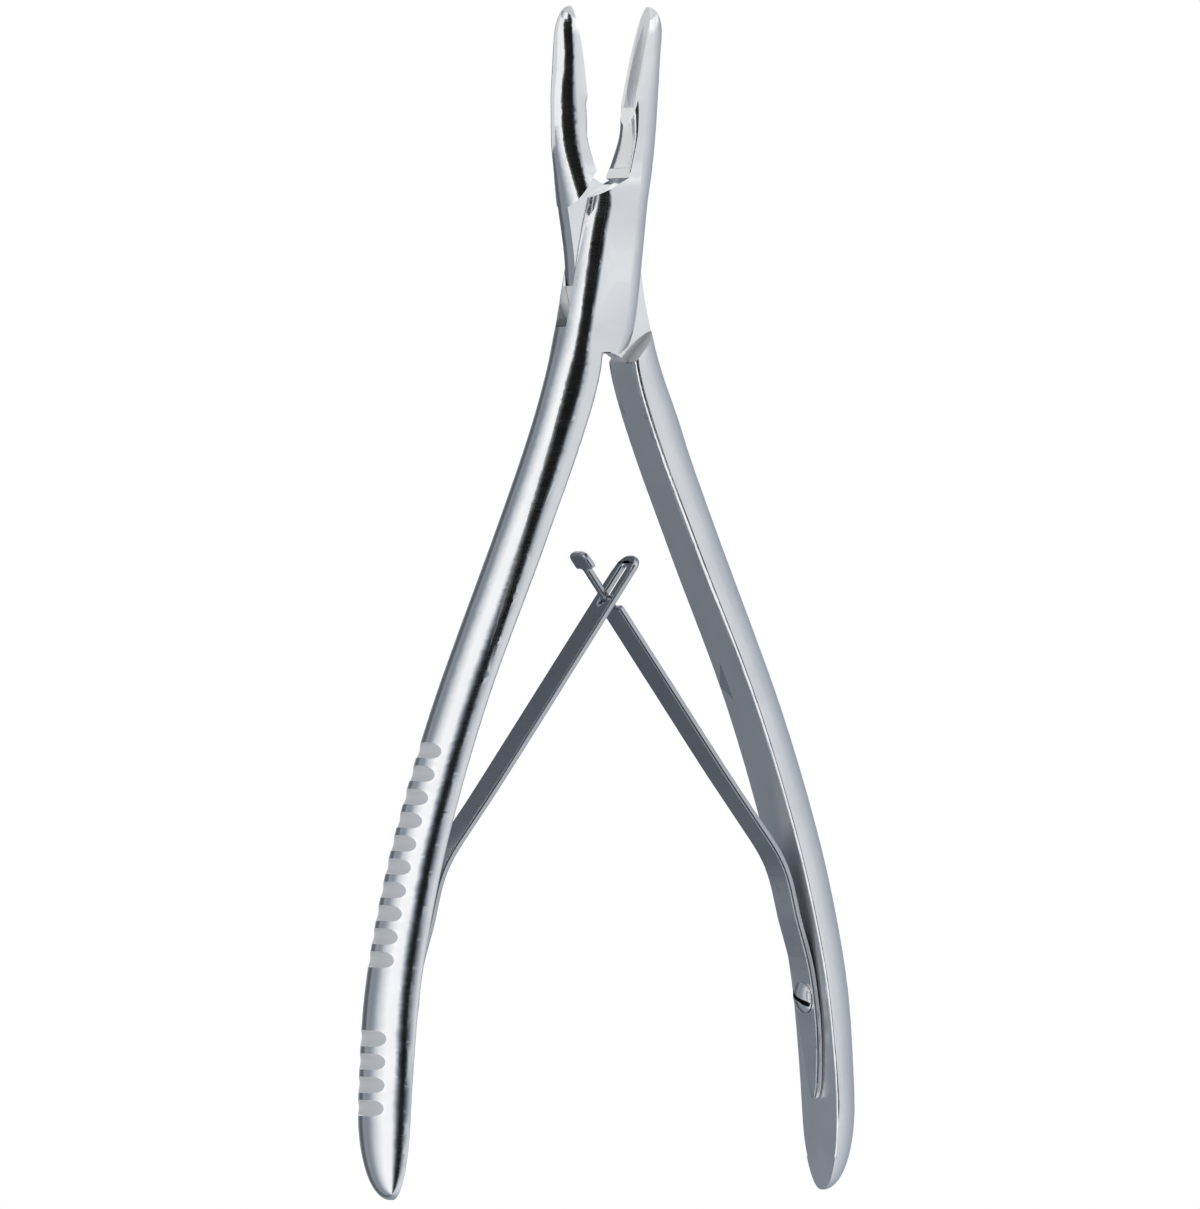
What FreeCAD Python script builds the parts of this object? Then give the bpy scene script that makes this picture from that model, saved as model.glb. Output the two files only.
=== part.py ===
import FreeCAD, Part
import math
import os

from FreeCAD import Vector

os.makedirs("parts", exist_ok=True)

# Bone rongeur with a box lock and two interlocking leaf springs.
# Millimetres. Z is the pivot axis, Y runs to the jaws, X across the instrument.
# The origin is on the pivot axis at the back face of the lock.

# Driving dimensions
LOCK_DEPTH = 8.0
MID_Z = LOCK_DEPTH / 2
CLOSING_ANGLE = 19.3

# Lock and pin
PIN_RADIUS = 2.0
PIN_RUNNING_GAP = 0.04
TONGUE_DEPTH = 2.8
TONGUE_SIDE_GAP = 0.05
SLOT_DEPTH = TONGUE_DEPTH + 2 * TONGUE_SIDE_GAP
TONGUE_TOP_RADIUS = 11.85
SLOT_TOP_RADIUS = 12.9
SLOT_FLOOR_Y = -8.4

# Jaws: each biting face lies on a line that leans away from the Y axis
GROOVED_JAW_LEAN = 12.5
PLAIN_JAW_LEAN = CLOSING_ANGLE - GROOVED_JAW_LEAN
JAW_FACE_OFFSET = 1.15
BITE_GAP = 0.03
JAW_REACH = 37.2
CUP_START = 23.0
CUP_LENGTH = 12.0
CUP_RADIUS = 1.42

# Handles
TAIL_Y = -131.7
TAIL_ROUND_LENGTH = 14.5
GROOVE_RADIUS = 1.15
GROOVE_INSET = 0.2
GROOVE_PITCH = 3.27
UPPER_GROOVE_Y = -68.3
UPPER_GROOVES = 10
LOWER_GROOVE_Y = -108.8
LOWER_GROOVES = 4

# Leaf springs and their screws
SPRING_WIDTH = 5.4
SPRING_THICKNESS = 0.95
SPRING_TAIL_Y = -118.6
SPRING_LIFT_Y = -92.0
SPRING_STEP = 4.2
SPRING_CROSS_Y = -47.0
SPRING_CROSS_SLOPE = 0.7305
SPRING_CROSS_PLAY = 1.35
SLOTTED_SPRING_END_Y = -41.0
HOOKED_SPRING_END_Y = -40.4
SCREW_Y = -104.0
SCREW_HEAD_RADIUS = 2.25
SCREW_HEAD_HEIGHT = 1.05
SCREW_RIM_HEIGHT = 0.35
SCREW_SHANK_RADIUS = 1.25
SCREW_SHANK_LENGTH = 3.6
SCREW_SLOT_WIDTH = 0.6
SCREW_SLOT_DEPTH = 0.7
SCREW_SLOT_TURN = 24.0
SPRING_HOLE_GAP = 0.05
SCREW_SEAT_GAP = 0.09
SLOT_END_WALL = 1.3
SLOT_WIDTH = 1.8
NECK_WIDTH = 1.4
HEAD_LENGTH = 2.7
HEAD_WIDTH = 4.5
HEAD_CORNER = 1.2
SPRING_CORNER = 2.3
# Number of steps in which a spring follows its path
STRIP_STEPS = 24

# Gap between a leaf spring and its handle, which grows from the tail
SPRING_SEAT = [
    (-118.6, 0.03),
    (-110.0, 0.1),
    (-104.0, 0.16),
    (-98.0, 0.34),
    (-92.0, 0.95),
]
# Free run of a leaf spring from its handle towards the crossing, as distance from the Y axis
FREE_SPRING = [
    (27.65, -84.8),
    (24.75, -80.5),
    (20.75, -75.3),
    (10.3, -61.1),
]
# Inner face of a handle, as distance from the Y axis
HANDLE_INNER = [
    (-131.7, 35.3),
    (-118.2, 34.8),
    (-104.0, 33.5),
    (-89.8, 30.75),
    (-78.0, 27.5),
    (-61.4, 21.75),
    (-47.2, 15.6),
    (-33.0, 9.42),
    (-18.7, 3.9),
    (-13.3, 2.45),
]
# Width of a handle across its inner face, and of the part of it that is rounded
HANDLE_WIDTH = [
    (-131.7, 5.1),
    (-118.2, 5.1),
    (-104.0, 5.5),
    (-78.0, 5.8),
    (-61.4, 5.85),
    (-47.2, 6.15),
    (-33.0, 6.35),
    (-18.7, 6.5),
]
HANDLE_ROUND = [
    (-131.7, 4.8),
    (-61.4, 4.8),
    (-47.2, 5.0),
    (-33.0, 4.6),
    (-18.7, 4.4),
]
# Radius of the edges between a handle's inner face and its flats
EDGE_ROUND = [
    (-127.0, 0.3),
    (-80.0, 0.4),
    (-40.0, 0.65),
    (-12.0, 0.7),
]
# Half depth of a handle, of the lock and of a jaw
HALF_DEPTH = [
    (-131.7, 5.15),
    (-113.0, 5.15),
    (-104.0, 5.05),
    (-91.0, 4.85),
    (-78.0, 4.6),
    (-61.4, 4.42),
    (-47.2, 4.25),
    (-33.0, 4.08),
    (-20.0, 4.0),
    (6.0, 4.0),
    (9.7, 3.85),
    (13.1, 3.32),
    (15.5, 2.9),
    (20.4, 2.42),
    (24.0, 2.32),
    (29.5, 2.3),
    (33.2, 1.95),
    (37.2, 1.55),
]


def along(points, y):
    """Smooth value at y through the points, level at the highs and lows."""
    if y <= points[0][0]:
        return points[0][1]
    if y >= points[-1][0]:
        return points[-1][1]
    slopes = []
    steps = [
        (points[i + 1][1] - points[i][1]) / (points[i + 1][0] - points[i][0])
        for i in range(len(points) - 1)
    ]
    for i in range(len(points)):
        if i == 0:
            slopes.append(steps[0])
        elif i == len(points) - 1:
            slopes.append(steps[-1])
        elif steps[i - 1] * steps[i] <= 0:
            slopes.append(0.0)
        else:
            slopes.append(2 * steps[i - 1] * steps[i] / (steps[i - 1] + steps[i]))
    for i in range(len(steps)):
        y0, v0 = points[i]
        y1, v1 = points[i + 1]
        if y <= y1:
            length = y1 - y0
            t = (y - y0) / length
            rise = v1 - v0
            a = slopes[i] * length - rise
            b = rise - slopes[i + 1] * length
            return v0 + t * rise + t * (1 - t) * (a * (1 - t) + b * t)


def grooved_bite_x(y):
    """Biting face of the grooved half at y."""
    a = math.radians(GROOVED_JAW_LEAN)
    return (y * math.sin(a) - JAW_FACE_OFFSET) / math.cos(a) + BITE_GAP


def plain_bite_x(y):
    """Biting face of the plain half at y, on the other side of the axis."""
    a = math.radians(PLAIN_JAW_LEAN)
    return -(y * math.sin(a) + JAW_FACE_OFFSET) / math.cos(a) - BITE_GAP


# Share of the half turn of a rounded side at which its surface is pinned
SIDE_STEPS = [i / 8 for i in range(9)]


def side_points(y, flat_x, edge_x, half):
    """Points round a side of a section, from one flat out to edge_x and on to the other."""
    reach = edge_x - flat_x
    way = 1 if reach < 0 else -1
    points = []
    for step in SIDE_STEPS:
        a = math.pi * (step - 0.5)
        x = flat_x + reach * math.cos(a)
        points.append(Vector(x, y, MID_Z + way * half * math.sin(a)))
    return points


def run_through(points, steps, start=None, end=None):
    """Smooth curve that reaches each point at its own step."""
    curve = Part.BSplineCurve()
    if start is None:
        curve.interpolate(Points=points, Parameters=steps)
    else:
        curve.interpolate(
            Points=points,
            Parameters=steps,
            InitialTangent=start,
            FinalTangent=end,
            Scale=False,
        )
    return curve


def skin(rows, steps, reaches=None):
    """Surface through rows of points. Each row runs the length of the part."""
    runs = [run_through(row, steps) for row in rows]
    poles = [run.getPoles() for run in runs]
    if reaches:
        pulls = run_through(reaches, steps).getPoles()
        across = []
        for k, reach in enumerate(pulls):
            pull = Vector(reach.x, 0, 0)
            column = [row[k] for row in poles]
            across.append(run_through(column, SIDE_STEPS, pull, pull * -1))
        net = [list(c) for c in zip(*[c.getPoles() for c in across])]
        knots = across[0].getKnots()
        mults = across[0].getMultiplicities()
        degree = 3
    else:
        net = poles
        knots = [0.0, 1.0]
        mults = [2, 2]
        degree = 1
    surface = Part.BSplineSurface()
    surface.buildFromPolesMultsKnots(
        net,
        mults,
        runs[0].getMultiplicities(),
        knots,
        runs[0].getKnots(),
        False,
        False,
        degree,
        3,
    )
    return surface.toShape()


def blank(sections, steps):
    """Solid through sections across the part: (y, left, left round, right, right round, half)."""
    left = []
    right = []
    left_reach = []
    right_reach = []
    for y, x0, round0, x1, round1, half in sections:
        left.append(side_points(y, x0 + round0, x0, half))
        right.append(side_points(y, x1 - round1, x1, half))
        left_reach.append(Vector(-round0 * math.pi, y, 0))
        right_reach.append(Vector(round1 * math.pi, y, 0))
    left = [list(row) for row in zip(*left)]
    right = [list(row) for row in zip(*right)]
    faces = [
        skin(left, steps, left_reach),
        skin([left[-1], right[0]], steps),
        skin(right, steps, right_reach),
        skin([right[-1], left[0]], steps),
    ]
    for end in (0, -1):
        edges = []
        for face in faces:
            y = sections[end][0]
            for edge in face.Edges:
                box = edge.BoundBox
                if abs(box.YMin - y) < 1e-4 and abs(box.YMax - y) < 1e-4:
                    edges.append(edge)
        faces.append(Part.Face(Part.Wire(Part.__sortEdges__(edges))))
    joined = Part.makeCompound(faces)
    joined.sewShape(1e-5)
    solid = Part.Solid(joined.Shells[0])
    if solid.Volume < 0:
        solid.reverse()
    return solid


def inner_x(y):
    """Inner face of a handle at y, as distance from the Y axis."""
    return along(HANDLE_INNER, y)


def outer_x(y):
    """Outermost line of a handle at y, as distance from the Y axis."""
    return inner_x(y) + along(HANDLE_WIDTH, y)


def end_scale(y, start, end):
    """1 before the rounded end begins, falling to nearly 0 at its tip."""
    q = min(max((y - start) / (end - start), 0.0), 0.9985)
    return (1 - q**2.15) ** (1 / 2.15)


# Share of the rounded length at which the sections near a rounded end lie
END_STATIONS = [0.997, 0.98, 0.94, 0.86, 0.74, 0.58, 0.4, 0.2]

TAIL_START = TAIL_Y + TAIL_ROUND_LENGTH
TIP_ROUND_LENGTH = 4.6
TIP_START = JAW_REACH - TIP_ROUND_LENGTH


def stations():
    """Where the sections of a half lie, from the tail to the tip."""
    tail = [TAIL_START + q * (TAIL_Y - TAIL_START) for q in END_STATIONS]
    handle = [TAIL_START, -111, -104, -97, -90, -84, -77, -69, -61, -54, -47, -40, -33, -26]
    lock = [-20.5, -16, -13.1, -10.2, -7.4, -4.5, -1.7, 1.1, 4, 7, 9.7, 11.4, 12.8, 14]
    jaw = [15.2, 16.8, 18.7, 20.4, 22.2, 23.6, 25.2, 27.2, 29.5, 31.2]
    tip = [TIP_START + q * (JAW_REACH - TIP_START) for q in [0.0] + END_STATIONS[::-1]]
    return tail + handle + lock + jaw + tip


# How far a handle's blank passes its inner face, and the radius of that edge, which is cut away
FAR_EDGE = 1.3
FAR_ROUND = 0.8


def half_blank(outer_lock, outer_round, inner_lock, inner_round, side):
    """One half before it is cut: a handle on one side, the lock, and a jaw on the other.

    side is -1 where the handle lies at negative X. The lists run from the lock to the
    jaw tip, outer for the handle's side and inner for the jaw's side.
    """
    sections = []
    for y in stations():
        tail = end_scale(y, TAIL_START, TAIL_Y)
        tip = end_scale(y, TIP_START, JAW_REACH)
        half = along(HALF_DEPTH, y) * tail * tip
        if y < outer_lock[0][0]:
            out = inner_x(y) + along(HANDLE_WIDTH, y) * tail
            out_round = along(HANDLE_ROUND, y) * tail
        else:
            out = along(outer_lock, y)
            out_round = along(outer_round, y)
        if y < inner_lock[0][0]:
            far = FAR_EDGE - inner_x(y)
            far_round = FAR_ROUND
        else:
            far = along(inner_lock, y)
            far_round = along(inner_round, y)
        if tip < 1:
            far = jaw_core(y, side) + (far - jaw_core(y, side)) * tip
            far_round *= tip
        if side < 0:
            sections.append((y, -out, out_round, far, far_round, half))
        else:
            sections.append((y, -far, far_round, out, out_round, half))
    steps = [0.0]
    for last, this in zip(sections, sections[1:]):
        moves = [this[i] - last[i] for i in (0, 1, 3, 5)]
        steps.append(steps[-1] + math.sqrt(sum(move * move for move in moves)))
    return blank(sections, [step / steps[-1] for step in steps])


def jaw_core(y, side):
    """Line that the tip of a jaw closes in on, as distance on the jaw's own side."""
    return grooved_bite_x(y) if side < 0 else -plain_bite_x(y)


# Grooved half, from the lock to the jaw tip. Distances on the handle's side of the axis.
GROOVED_OUTER = [
    (-16.0, 9.55),
    (-13.1, 8.7),
    (-10.2, 7.95),
    (-7.4, 7.3),
    (-3.1, 6.47),
    (1.1, 5.67),
    (5.4, 4.85),
    (9.7, 3.77),
    (11.4, 3.2),
    (12.8, -0.2),
    (14.0, -2.0),
    (15.2, -2.4),
    (16.8, -2.9),
    (18.7, -3.3),
    (20.4, -3.35),
    (23.0, -3.35),
    (25.2, -3.0),
    (29.5, -3.9),
    (37.2, -5.4),
]
GROOVED_OUTER_ROUND = [
    (-16.0, 4.35),
    (-13.1, 3.9),
    (-10.2, 3.3),
    (-7.4, 3.15),
    (5.4, 3.05),
    (9.7, 2.7),
    (11.4, 2.4),
    (12.8, 1.5),
    (14.0, 0.5),
    (16.8, 0.5),
    (20.4, 0.8),
    (23.0, 0.9),
    (37.2, 0.9),
]
# Distances on the jaw's side of the axis
GROOVED_INNER = [
    (-26.0, -4.9),
    (-20.5, -3.1),
    (-16.0, -0.4),
    (-13.1, 1.6),
    (-10.2, 3.4),
    (-7.4, 4.2),
    (-1.7, 4.95),
    (4.0, 5.6),
    (9.7, 6.31),
    (13.1, 7.07),
    (16.8, 7.7),
    (20.4, 8.12),
    (25.6, 8.5),
    (29.5, 8.72),
    (37.2, 9.75),
]
GROOVED_INNER_ROUND = [
    (-26.0, 1.0),
    (-20.5, 1.3),
    (-16.0, 2.4),
    (-10.2, 3.0),
    (13.1, 2.95),
    (20.4, 2.7),
    (25.6, 2.4),
    (29.5, 2.05),
    (37.2, 2.0),
]

# Plain half, from the lock to the jaw tip, in the same way
PLAIN_OUTER = [
    (-16.0, 9.15),
    (-13.1, 8.07),
    (-10.2, 7.15),
    (-7.4, 6.5),
    (-4.5, 5.85),
    (-1.7, 5.45),
    (5.6, 4.1),
    (11.4, 2.9),
    (12.8, 0.6),
    (14.0, -2.75),
    (15.2, -3.15),
    (16.8, -3.55),
    (18.7, -3.8),
    (20.4, -3.65),
    (23.2, -3.75),
    (25.2, -3.1),
    (29.5, -3.6),
    (37.2, -4.4),
]
PLAIN_OUTER_ROUND = [
    (-16.0, 4.35),
    (-13.1, 3.9),
    (-10.2, 3.3),
    (-7.4, 3.15),
    (9.7, 2.6),
    (11.4, 2.2),
    (12.8, 1.5),
    (14.0, 0.5),
    (16.8, 0.55),
    (20.4, 0.85),
    (37.2, 0.85),
]
PLAIN_INNER = [
    (-20.5, -3.1),
    (-16.0, -1.7),
    (-13.1, -0.6),
    (-10.2, 2.2),
    (-7.4, 4.6),
    (-4.5, 5.6),
    (-1.7, 5.9),
    (1.1, 6.05),
    (4.0, 6.4),
    (9.7, 7.3),
    (13.1, 7.8),
    (18.7, 8.5),
    (23.9, 8.55),
    (29.5, 8.14),
    (37.2, 7.85),
]
PLAIN_INNER_ROUND = [
    (-20.5, 0.9),
    (-13.1, 1.0),
    (-7.4, 2.4),
    (-1.7, 2.95),
    (18.7, 2.9),
    (23.9, 2.65),
    (29.5, 2.06),
    (37.2, 2.1),
]


def arc(a, b, c):
    """Arc through three points at z 0."""
    points = [Vector(x, y, 0) for x, y in (a, b, c)]
    return Part.Arc(*points).toShape()


def lines(points):
    """Chain of straight edges at z 0."""
    return [
        Part.makeLine(Vector(*points[i], 0), Vector(*points[i + 1], 0))
        for i in range(len(points) - 1)
    ]


def block(edges, z0, z1):
    """Block over a closed loop of edges, from z0 to z1."""
    wire = Part.Wire(Part.__sortEdges__(edges))
    solid = Part.Face(wire).extrude(Vector(0, 0, z1 - z0))
    solid.translate(Vector(0, 0, z0))
    return solid


def inner_curve(side):
    """Inner face of a handle seen along Z, from beyond the tail up to the lock."""
    rows = [HANDLE_INNER[0][0] - 4]
    y = HANDLE_INNER[0][0]
    while y < HANDLE_INNER[-1][0] - 3:
        rows.append(y)
        y += 5.4
    rows.append(HANDLE_INNER[-1][0])
    curve = Part.BSplineCurve()
    curve.interpolate([Vector(side * inner_x(y), y, 0) for y in rows])
    return curve.toShape()


def z_cylinder(x, y, radius, z0, z1):
    return Part.makeCylinder(radius, z1 - z0, Vector(x, y, z0), Vector(0, 0, 1))


# Where a round edge is laid down, and the small angle at which it meets both faces
EDGE_STATIONS = [-127, -121, -115, -109, -103, -97, -91, -84, -77]
EDGE_STATIONS += [-70, -63, -56, -48, -40, -32, -25, -18, -12]
EDGE_SLANT = math.radians(10)


def corner_cutter(side, front):
    """What is removed between a handle's inner face and a flat to leave a round edge."""
    wires = []
    into = Vector(side, 0, 0)
    down = Vector(0, 0, -front)
    for y in EDGE_STATIONS:
        radius = along(EDGE_ROUND, y)
        half = along(HALF_DEPTH, y) * end_scale(y, TAIL_START, TAIL_Y)
        corner = Vector(side * inner_x(y), y, MID_Z + front * half)
        centre = corner + (into + down) * (radius * math.cos(EDGE_SLANT))
        bow = []
        for turn in (EDGE_SLANT, math.pi / 4, math.pi / 2 - EDGE_SLANT):
            bow.append(centre - into * (radius * math.cos(turn)) - down * (radius * math.sin(turn)))
        low = bow[0] - into * (math.sin(EDGE_SLANT) / 2) + down * (math.cos(EDGE_SLANT) / 2)
        high = bow[2] + into * (math.cos(EDGE_SLANT) / 2) - down * (math.sin(EDGE_SLANT) / 2)
        beyond = corner - into - down
        outside = [bow[2], high, high - down, beyond, low - into, low, bow[0]]
        edges = [Part.makeLine(p, q) for p, q in zip(outside, outside[1:])]
        wires.append(Part.Wire([Part.Arc(*bow).toShape()] + edges))
    return Part.makeLoft(wires, True, False)


def cup(lean, side):
    """Pointed hollow in a biting face."""
    profile = [(0, 0), (0.1, 0.72), (0.24, 1.0), (0.45, 0.97), (0.72, 0.62), (1, 0)]
    a = math.radians(lean)
    way = Vector(-side * math.sin(a), math.cos(a), 0)
    x = grooved_bite_x(CUP_START) if side < 0 else plain_bite_x(CUP_START)
    start = Vector(x, CUP_START, MID_Z)
    points = [
        start + way * (t * CUP_LENGTH) + Vector(0, 0, r * CUP_RADIUS)
        for t, r in profile
    ]
    curve = Part.BSplineCurve()
    curve.interpolate(points)
    back = Part.makeLine(points[-1], points[0])
    face = Part.Face(Part.Wire([curve.toShape(), back]))
    return face.revolve(start, way, 360)


def bite_cutter(side):
    """Everything in front of a biting face."""
    bite = grooved_bite_x if side < 0 else plain_bite_x
    far = -side * -6
    outline = [(bite(19.4), 19.4), (bite(42), 42), (far, 42), (far, 19.4)]
    return block(lines(outline + outline[:1]), -2, LOCK_DEPTH + 2)


def tapped_hole(side):
    """Hole for a spring screw in a handle's inner face."""
    hole = Part.makeCylinder(SCREW_SHANK_RADIUS, SCREW_SHANK_LENGTH + 0.3 + 1)
    hole.translate(Vector(0, 0, -SCREW_SHANK_LENGTH - 0.3))
    return place(hole, screw_frame(side))


def screw_frame(side):
    """Frame on a handle's inner face at the screw: origin, along the handle, normal."""
    step = 0.5
    rise = inner_x(SCREW_Y + step) - inner_x(SCREW_Y - step)
    way = Vector(side * rise, 2 * step, 0).normalize()
    normal = Vector(-side * way.y, side * way.x, 0)
    return Vector(side * inner_x(SCREW_Y), SCREW_Y, MID_Z), way, normal


def place(shape, frame):
    """Moves a shape built along Z so that Z becomes the frame's normal."""
    origin, way, normal = frame
    across = way.cross(normal)
    matrix = FreeCAD.Matrix(
        way.x, across.x, normal.x, origin.x,
        way.y, across.y, normal.y, origin.y,
        way.z, across.z, normal.z, origin.z,
        0, 0, 0, 1,
    )
    placed = shape.copy()
    placed.transformShape(matrix, True)
    return placed


def grooved_half():
    """Handle with finger grooves, the slotted cheeks of the lock, and a jaw."""
    body = half_blank(
        GROOVED_OUTER, GROOVED_OUTER_ROUND, GROOVED_INNER, GROOVED_INNER_ROUND, -1
    )
    z0 = -2
    z1 = LOCK_DEPTH + 2
    # Open side of the cheeks below the jaw
    top = [(-9, 7.16), (2.12, 12.8), (2.3, 14.2), (-9, 16.5), (-9, 7.16)]
    body = body.cut(block(lines(top), z0, z1))
    body = body.cut(bite_cutter(-1))
    # Inner face of the handle, a small arch at its root, and the end of the cheeks
    root = (-HANDLE_INNER[-1][1], HANDLE_INNER[-1][0])
    edges = [inner_curve(-1)]
    low = (-inner_x(HANDLE_INNER[0][0] - 4), HANDLE_INNER[0][0] - 4)
    edges.append(arc(root, (-1.35, -12.15), (-0.35, -12.55)))
    edges += lines([(-0.35, -12.55), (3.54, -10.34), (14, -4.4), (50, -4.4), (50, low[1]), low])
    body = body.cut(block(edges, z0, z1))
    # Slot for the tongue
    slot = lines([(2.2, 12.71), (-14, 12.71), (-14, SLOT_FLOOR_Y), (-5.4, SLOT_FLOOR_Y)])
    slot += lines([(-5.4, SLOT_FLOOR_Y), (-2.5, -13.6), (-1.5, -16), (14, -16), (14, 6)])
    corner = (9.0, math.sqrt(SLOT_TOP_RADIUS**2 - 81))
    slot += lines([(14, 6), corner])
    top_left = (2.2, math.sqrt(SLOT_TOP_RADIUS**2 - 2.2**2))
    slot.append(arc(corner, (6.0, math.sqrt(SLOT_TOP_RADIUS**2 - 36)), top_left))
    slot += lines([top_left, (2.2, 12.71)])
    body = body.cut(block(slot, MID_Z - SLOT_DEPTH / 2, MID_Z + SLOT_DEPTH / 2))
    body = body.cut(z_cylinder(0, 0, PIN_RADIUS, z0, z1))
    body = body.cut(cup(GROOVED_JAW_LEAN, -1))
    for front in (-1, 1):
        body = body.cut(corner_cutter(-1, front))
    for i in range(UPPER_GROOVES):
        y = UPPER_GROOVE_Y - i * GROOVE_PITCH
        x = GROOVE_INSET - outer_x(y)
        body = body.cut(z_cylinder(x, y, GROOVE_RADIUS, z0, z1))
    for i in range(LOWER_GROOVES):
        y = LOWER_GROOVE_Y - i * GROOVE_PITCH
        width = along(HANDLE_WIDTH, y) * end_scale(y, TAIL_START, TAIL_Y)
        x = GROOVE_INSET - inner_x(y) - width
        body = body.cut(z_cylinder(x, y, GROOVE_RADIUS, z0, z1))
    body = body.cut(tapped_hole(-1))
    return body


def plain_half():
    """Smooth handle, the tongue of the lock, and the other jaw."""
    body = half_blank(PLAIN_OUTER, PLAIN_OUTER_ROUND, PLAIN_INNER, PLAIN_INNER_ROUND, 1)
    z0 = -2
    z1 = LOCK_DEPTH + 2
    # Round top of the tongue, up to the inner corner of the jaw
    r = TONGUE_TOP_RADIUS
    left = (-0.97, math.sqrt(r * r - 0.97**2))
    right = (8.5, math.sqrt(r * r - 8.5**2))
    edges = [arc(right, (4.0, math.sqrt(r * r - 16)), left)]
    edges += lines([left, (-2.77, 12.78), (-3.3, 14.2), (9, 17), right])
    body = body.cut(block(edges, z0, z1))
    body = body.cut(bite_cutter(1))
    # Inner face of the handle and the lower edge of the tongue
    root = (HANDLE_INNER[-1][1], HANDLE_INNER[-1][0])
    low = (inner_x(HANDLE_INNER[0][0] - 4), HANDLE_INNER[0][0] - 4)
    edges = [inner_curve(1)]
    edges += lines([root, (-0.18, -11.3), (-2.42, -9.1), (-4.2, -7.0), (-5.1, -5.1)])
    edges += lines([(-5.1, -5.1), (-5.66, -2.6), (-9, -2.0), (-50, -2), (-50, low[1]), low])
    body = body.cut(block(edges, z0, z1))
    # Both faces are cut back to the tongue between the two shoulders
    recess = [(-9.5, 5.06), (-4.05, 12.5), (-3.2, 13.7), (12, 13.7), (12, -2.76)]
    recess += [(2.6, -13.5), (1.0, -15.33), (-9.5, -15.33), (-9.5, 5.06)]
    tongue = TONGUE_DEPTH / 2
    body = body.cut(block(lines(recess), MID_Z + tongue, z1))
    body = body.cut(block(lines(recess), z0, MID_Z - tongue))
    body = body.cut(z_cylinder(0, 0, PIN_RADIUS + PIN_RUNNING_GAP, z0, z1))
    body = body.cut(cup(PLAIN_JAW_LEAN, 1))
    for front in (-1, 1):
        body = body.cut(corner_cutter(1, front))
    body = body.cut(tapped_hole(1))
    return body


def lock_pin():
    """Rivet of the lock, ground flush on both cheeks."""
    return z_cylinder(0, 0, PIN_RADIUS, 0, LOCK_DEPTH)


def spring_path(side, end_y):
    """Middle line of a leaf spring, from its tail on the handle to its free end."""
    points = []
    y = SPRING_TAIL_Y
    while y < SPRING_LIFT_Y:
        rise = inner_x(y + 0.5) - inner_x(y - 0.5)
        norm = math.hypot(1, rise)
        offset = SPRING_THICKNESS / 2 + along(SPRING_SEAT, y)
        points.append((inner_x(y) - offset / norm, y + offset * rise / norm))
        y += SPRING_STEP
    points += FREE_SPRING
    points.append((0.0, SPRING_CROSS_Y))
    points.append((-SPRING_CROSS_SLOPE * (end_y - SPRING_CROSS_Y), end_y))
    curve = Part.BSplineCurve()
    curve.interpolate([Vector(side * x, y, 0) for x, y in points])
    return curve


def past_cross(end_y):
    """Distance along a spring from its free end to just below the other spring."""
    return (end_y - SPRING_CROSS_Y) * math.hypot(1, SPRING_CROSS_SLOPE) + SPRING_CROSS_PLAY


def strip(path):
    """Flat strip bent along a path."""
    first = path.FirstParameter
    last = path.LastParameter
    sides = []
    for way in (-1, 1):
        points = []
        for i in range(STRIP_STEPS + 1):
            t = first + (last - first) * i / STRIP_STEPS
            tangent = path.tangent(t)[0]
            normal = Vector(-tangent.y, tangent.x, 0)
            points.append(path.value(t) + normal * (way * SPRING_THICKNESS / 2))
        curve = Part.BSplineCurve()
        curve.interpolate(points)
        sides.append((curve.toShape(), points[0], points[-1]))
    ends = [Part.makeLine(sides[0][i], sides[1][i]) for i in (1, 2)]
    edges = [sides[0][0], ends[0], sides[1][0], ends[1]]
    wire = Part.Wire(Part.__sortEdges__(edges))
    solid = Part.Face(wire).extrude(Vector(0, 0, SPRING_WIDTH))
    solid.translate(Vector(0, 0, MID_Z - SPRING_WIDTH / 2))
    return solid


def end_frame(path, at_tail):
    """Frame at one end of a strip: origin, outwards along it, normal to it."""
    t = path.FirstParameter if at_tail else path.LastParameter
    way = path.tangent(t)[0]
    if at_tail:
        way = way * -1
    origin = path.value(t) + Vector(0, 0, MID_Z)
    return origin, way, Vector(0, 0, 1).cross(way)


def slab(length, width, along_start, radius=0.0):
    """Block in a strip's own frame: along it, across it, and right through it."""
    box = Part.makeBox(length, width, 6, Vector(along_start, -width / 2, -3))
    if radius:
        upright = [e for e in box.Edges if abs(e.BoundBox.ZLength - 6) < 1e-6]
        box = box.makeFillet(radius, upright)
    return box


def rounded_end(radius, length, width):
    """What is removed from the last length of a strip to leave a width with round corners."""
    keep = slab(20, width, -20, radius)
    return slab(length + 2, SPRING_WIDTH + 4, -length).cut(keep)


def spring_hole(side):
    hole = Part.makeCylinder(SCREW_SHANK_RADIUS + SPRING_HOLE_GAP, 3)
    hole.translate(Vector(0, 0, -0.5))
    return place(hole, screw_frame(side))


def slotted_leaf_spring():
    """Leaf spring of the grooved handle, with a long slot near its free end."""
    path = spring_path(-1, SLOTTED_SPRING_END_Y)
    solid = strip(path)
    tip = end_frame(path, False)
    end = rounded_end(SPRING_CORNER, SPRING_CORNER, SPRING_WIDTH + 0.02)
    solid = solid.cut(place(end, tip))
    length = past_cross(SLOTTED_SPRING_END_Y) - SLOT_END_WALL
    slot = slab(length, SLOT_WIDTH, -SLOT_END_WALL - length, SLOT_WIDTH / 2 - 0.02)
    solid = solid.cut(place(slot, tip))
    solid = solid.cut(place(end, end_frame(path, True)))
    return solid.cut(spring_hole(-1))


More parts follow.
